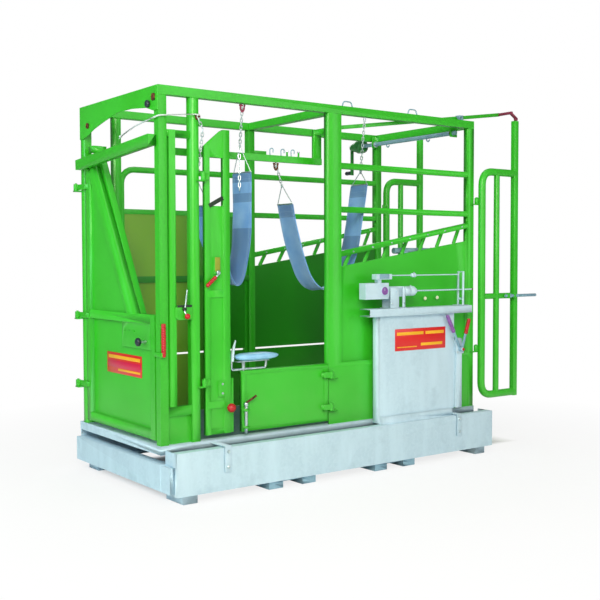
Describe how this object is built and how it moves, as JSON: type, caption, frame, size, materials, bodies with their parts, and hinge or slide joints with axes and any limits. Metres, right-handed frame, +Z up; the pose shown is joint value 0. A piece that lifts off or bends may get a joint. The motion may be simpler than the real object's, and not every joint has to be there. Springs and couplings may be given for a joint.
{
  "type": "cattle crush",
  "caption": "Steel cattle crush on a weighing platform: swinging head gate with yoke, opening side gates, belly slings, rear gate leaves and a steelyard scale.",
  "frame": {"origin": "middle of the bounding box on the ground, under the feet", "axes": "+X from the head gate to the rear gates, +Z up, -Y the near side with the weigh column"},
  "size_m": [3.099, 1.453, 2.3859],
  "materials": {
    "far_front_post": "light green gloss paint on steel tube and sheet",
    "near_second_post": "light green gloss paint on steel tube and sheet",
    "near_front_bay": "light green gloss paint on steel tube and sheet",
    "far_front_bay": "light green gloss paint on steel tube and sheet",
    "near_rear_bay": "light green gloss paint on steel tube and sheet",
    "far_rear_bay": "light green gloss paint on steel tube and sheet",
    "near_top_rail": "light green gloss paint on steel tube and sheet",
    "far_top_rail": "light green gloss paint on steel tube and sheet",
    "front_fascia": "light green gloss paint on steel tube and sheet",
    "mid_cross_beam": "light green gloss paint on steel tube and sheet",
    "rear_cross_beam": "light green gloss paint on steel tube and sheet",
    "hook_rail": "light green gloss paint on steel tube and sheet",
    "head_gate": "light green gloss paint on steel tube and sheet",
    "yoke_arm": "light green gloss paint on steel tube and sheet",
    "wing_gate": "light green gloss paint on steel tube and sheet",
    "side_door": "light green gloss paint on steel tube and sheet",
    "near_rear_leaf": "light green gloss paint on steel tube and sheet",
    "far_rear_leaf": "light green gloss paint on steel tube and sheet",
    "gate_stay": "light green gloss paint on steel tube and sheet",
    "winch_crank": "light green gloss paint on steel tube and sheet",
    "base_near_beam": "hot-dip galvanised steel",
    "base_far_beam": "hot-dip galvanised steel",
    "base_front_beam": "hot-dip galvanised steel",
    "base_rear_beam": "hot-dip galvanised steel",
    "fork_channel_front": "hot-dip galvanised steel",
    "fork_channel_rear": "hot-dip galvanised steel",
    "platform_frame": "hot-dip galvanised steel",
    "floor_plate": "hot-dip galvanised steel",
    "scale_column": "hot-dip galvanised steel",
    "scale_head_channel": "hot-dip galvanised steel",
    "steelyard_beam": "hot-dip galvanised steel",
    "scale_shaft_front": "bright zinc plated steel",
    "scale_shaft_rear": "bright zinc plated steel",
    "transfer_lever": "bright zinc plated steel",
    "pull_rod": "bright zinc plated steel",
    "drop_bolt": "bright zinc plated steel",
    "hoof_rest_bracket": "bright zinc plated steel",
    "rear_gate_bolt": "bright zinc plated steel",
    "winch_shaft": "bright zinc plated steel",
    "sling_chain_front_front": "bright zinc plated steel",
    "sling_chain_front_rear": "bright zinc plated steel",
    "sling_chain_rear_front": "bright zinc plated steel",
    "sling_chain_rear_rear": "bright zinc plated steel",
    "rope_pulley": "bright zinc plated steel",
    "main_poise": "bright zinc plated steel",
    "tare_poise": "bright zinc plated steel",
    "leg_bar": "bright zinc plated steel",
    "neck_lever": "red moulded grip",
    "head_gate_latch": "red moulded grip",
    "wing_latch_lever": "red moulded grip",
    "wing_catch_knob": "red moulded grip",
    "lock_lever_right": "red moulded grip",
    "head_gate_sign": "red printed sign plate, left without lettering",
    "scale_sign": "red printed sign plate, left without lettering",
    "belly_sling_front": "blue woven webbing",
    "belly_sling_rear": "blue woven webbing",
    "hoof_rest_pad": "pale blue moulded pad",
    "lock_lever_left": "purple moulded grip",
    "yoke_pin": "black moulded knob",
    "pull_rope": "pale twisted cord"
  },
  "bodies": {
    "frame": {"base_near_beam": "base_near_beam", "base_far_beam": "base_far_beam", "base_front_beam": "base_front_beam", "base_rear_beam": "base_rear_beam", "fork_channel_front": "fork_channel_front", "fork_channel_rear": "fork_channel_rear", "platform_frame": "platform_frame", "floor_plate": "floor_plate", "scale_shaft_front": "scale_shaft_front", "scale_shaft_rear": "scale_shaft_rear", "transfer_lever": "transfer_lever", "pull_rod": "pull_rod", "far_front_post": "far_front_post", "near_second_post": "near_second_post", "near_front_bay": "near_front_bay", "far_front_bay": "far_front_bay", "near_rear_bay": "near_rear_bay", "far_rear_bay": "far_rear_bay", "near_top_rail": "near_top_rail", "far_top_rail": "far_top_rail", "front_fascia": "front_fascia", "mid_cross_beam": "mid_cross_beam", "rear_cross_beam": "rear_cross_beam", "hook_rail": "hook_rail", "scale_column": "scale_column", "scale_sign": "scale_sign", "scale_head_channel": "scale_head_channel", "leg_bar": "leg_bar", "rope_pulley": "rope_pulley", "pull_rope": "pull_rope"},
    "head_gate": {"head_gate": "head_gate", "head_gate_sign": "head_gate_sign"},
    "yoke_arm": {"yoke_arm": "yoke_arm"},
    "yoke_plunger": {"yoke_pin": "yoke_pin"},
    "gate_latch": {"head_gate_latch": "head_gate_latch"},
    "neck_lever": {"neck_lever": "neck_lever"},
    "wing_gate": {"wing_gate": "wing_gate"},
    "wing_lever": {"wing_latch_lever": "wing_latch_lever"},
    "wing_catch": {"wing_catch_knob": "wing_catch_knob"},
    "side_door": {"side_door": "side_door"},
    "door_bolt": {"drop_bolt": "drop_bolt"},
    "hoof_rest": {"hoof_rest_bracket": "hoof_rest_bracket", "hoof_rest_pad": "hoof_rest_pad"},
    "near_leaf": {"near_rear_leaf": "near_rear_leaf"},
    "leaf_bolt": {"rear_gate_bolt": "rear_gate_bolt"},
    "far_leaf": {"far_rear_leaf": "far_rear_leaf"},
    "stay": {"gate_stay": "gate_stay"},
    "winch": {"winch_shaft": "winch_shaft", "winch_crank": "winch_crank"},
    "front_sling": {"belly_sling_front": "belly_sling_front", "sling_chain_front_front": "sling_chain_front_front", "sling_chain_front_rear": "sling_chain_front_rear"},
    "rear_sling": {"belly_sling_rear": "belly_sling_rear", "sling_chain_rear_front": "sling_chain_rear_front", "sling_chain_rear_rear": "sling_chain_rear_rear"},
    "steelyard": {"steelyard_beam": "steelyard_beam"},
    "main_poise": {"main_poise": "main_poise"},
    "tare_poise": {"tare_poise": "tare_poise"},
    "left_lock": {"lock_lever_left": "lock_lever_left"},
    "right_lock": {"lock_lever_right": "lock_lever_right"}
  },
  "joints": [
    {"name": "head_gate_swing", "type": "hinge", "parent": "frame", "child": "head_gate", "pos_m": [-1.5225, 0.4735, 1], "axis": [0, 0, 1], "range_deg": [-110, 0]},
    {"name": "yoke_swing", "type": "hinge", "parent": "head_gate", "child": "yoke_arm", "pos_m": [-1.4215, -0.2805, 0.873], "axis": [1, 0, 0], "range_deg": [0, 28]},
    {"name": "yoke_plunger_pull", "type": "slide", "parent": "head_gate", "child": "yoke_plunger", "axis": [1, 0, 0], "range_m": [-0.03, 0]},
    {"name": "gate_latch_turn", "type": "hinge", "parent": "frame", "child": "gate_latch", "pos_m": [-1.4855, -0.5715, 0.965], "axis": [0, 1, 0], "range_deg": [0, 80]},
    {"name": "neck_lever_turn", "type": "hinge", "parent": "frame", "child": "neck_lever", "pos_m": [-1.3475, -0.5815, 1.06], "axis": [0, 1, 0], "range_deg": [-30, 30]},
    {"name": "wing_gate_swing", "type": "hinge", "parent": "frame", "child": "wing_gate", "pos_m": [-1.2295, -0.5935, 1], "axis": [0, 0, 1], "range_deg": [-100, 0]},
    {"name": "wing_lever_turn", "type": "hinge", "parent": "wing_gate", "child": "wing_lever", "pos_m": [-1.1295, -0.5835, 1.262], "axis": [0, 1, 0], "range_deg": [0, 60]},
    {"name": "wing_catch_pull", "type": "slide", "parent": "wing_gate", "child": "wing_catch", "axis": [0, -1, 0], "range_m": [0, 0.015]},
    {"name": "side_door_swing", "type": "hinge", "parent": "frame", "child": "side_door", "pos_m": [-0.3195, -0.5935, 0.5], "axis": [0, 0, 1], "range_deg": [0, 100]},
    {"name": "door_bolt_lift", "type": "slide", "parent": "side_door", "child": "door_bolt", "axis": [0, 0, 1], "range_m": [0, 0.08]},
    {"name": "hoof_rest_swing", "type": "hinge", "parent": "side_door", "child": "hoof_rest", "pos_m": [-0.9455, -0.5555, 0.7], "axis": [0, 0, 1], "range_deg": [-75, 0]},
    {"name": "near_leaf_swing", "type": "hinge", "parent": "frame", "child": "near_leaf", "pos_m": [0.9805, -0.5815, 1], "axis": [0, 0, 1], "range_deg": [0, 88]},
    {"name": "leaf_bolt_slide", "type": "slide", "parent": "near_leaf", "child": "leaf_bolt", "axis": [1, 0, 0], "range_m": [-0.035, 0.012]},
    {"name": "far_leaf_swing", "type": "hinge", "parent": "frame", "child": "far_leaf", "pos_m": [1.0165, 0.4285, 1], "axis": [0, 0, 1], "range_deg": [-88, 0]},
    {"name": "stay_lift", "type": "hinge", "parent": "frame", "child": "stay", "pos_m": [0.8825, -0.4765, 2.313], "axis": [0, 1, 0], "range_deg": [-5, 0]},
    {"name": "winch_turn", "type": "hinge", "parent": "frame", "child": "winch", "pos_m": [0.8775, -0.0615, 2.212], "axis": [0, 1, 0], "continuous": true},
    {"name": "front_sling_swing", "type": "hinge", "parent": "frame", "child": "front_sling", "pos_m": [-1.2545, -0.5885, 2.1237], "axis": [0.9347, 0.1238, 0.3332], "range_deg": [0, 1.2]},
    {"name": "rear_sling_swing", "type": "hinge", "parent": "frame", "child": "rear_sling", "pos_m": [-0.5925, -0.3915, 1.9317], "axis": [0.8621, -0.2296, 0.4518], "range_deg": [0, 20]},
    {"name": "steelyard_tilt", "type": "hinge", "parent": "frame", "child": "steelyard", "pos_m": [0.1425, -0.6465, 1.128], "axis": [0, 1, 0], "range_deg": [-1.5, 3.5]},
    {"name": "main_poise_slide", "type": "slide", "parent": "steelyard", "child": "main_poise", "axis": [1, 0, 0], "range_m": [0, 0.385]},
    {"name": "tare_poise_slide", "type": "slide", "parent": "steelyard", "child": "tare_poise", "axis": [1, 0, 0], "range_m": [-0.18, 0.38]},
    {"name": "left_lock_turn", "type": "hinge", "parent": "frame", "child": "left_lock", "pos_m": [0.7175, -0.6835, 0.727], "axis": [0, 1, 0], "range_deg": [-35, 0]},
    {"name": "right_lock_turn", "type": "hinge", "parent": "frame", "child": "right_lock", "pos_m": [0.7175, -0.6965, 0.727], "axis": [0, 1, 0], "range_deg": [-15, 0]}
  ]
}
